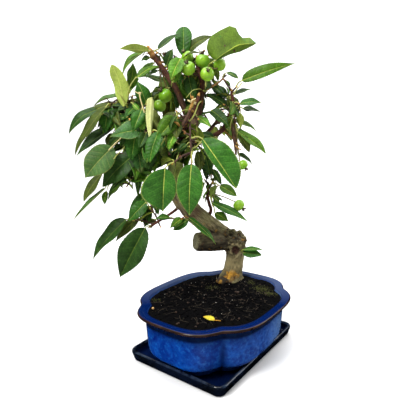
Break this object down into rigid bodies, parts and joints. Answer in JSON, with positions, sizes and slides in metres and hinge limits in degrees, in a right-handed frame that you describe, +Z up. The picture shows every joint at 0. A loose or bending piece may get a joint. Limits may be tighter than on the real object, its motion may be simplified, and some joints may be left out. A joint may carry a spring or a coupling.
{
  "type": "apple bonsai in a glazed pot",
  "caption": "Small apple bonsai with a bent trunk, an old cut stub, hanging serrated leaves and green fruit, in a lobed blue glazed pot on its drip tray.",
  "frame": {"origin": "centre of the drip tray's flat underside", "axes": "+X along the pot's long side towards the end where the trunk stands, +Y along its short side, +Z up; the crown leans out over the -X, +Y side"},
  "size_m": [0.2397, 0.2857, 0.4108],
  "materials": {
    "blue_glaze": "cobalt blue glaze, glossy, broken to brown on the rim's edge",
    "dark_glaze": "near-black blue glaze, glossy",
    "potting_soil": "dark, matt, loose",
    "bark": "grey-brown bark, matt",
    "leaves_and_fruit": "satin green"
  },
  "bodies": {
    "root": {"pot": "blue_glaze", "drip_tray": "dark_glaze", "soil": "potting_soil", "trunk": "bark", "bough_leader": "bark", "bough_top_left": "bark", "bough_left": "bark", "bough_low_left": "bark", "bough_front_left": "bark", "bough_front": "bark", "bough_right": "bark", "bough_right_low": "bark", "bough_drop": "bark", "bough_back": "bark", "bough_back_left": "bark", "bough_back_right": "bark", "crown_top": "leaves_and_fruit", "crown_top_left": "leaves_and_fruit", "crown_left": "leaves_and_fruit", "crown_low_left": "leaves_and_fruit", "crown_front_left": "leaves_and_fruit", "crown_front": "leaves_and_fruit", "crown_right": "leaves_and_fruit", "crown_right_low": "leaves_and_fruit", "crown_drop": "leaves_and_fruit", "crown_back": "leaves_and_fruit", "crown_back_left": "leaves_and_fruit", "crown_back_right": "leaves_and_fruit", "knob_leaves": "leaves_and_fruit"}
  },
  "joints": []
}
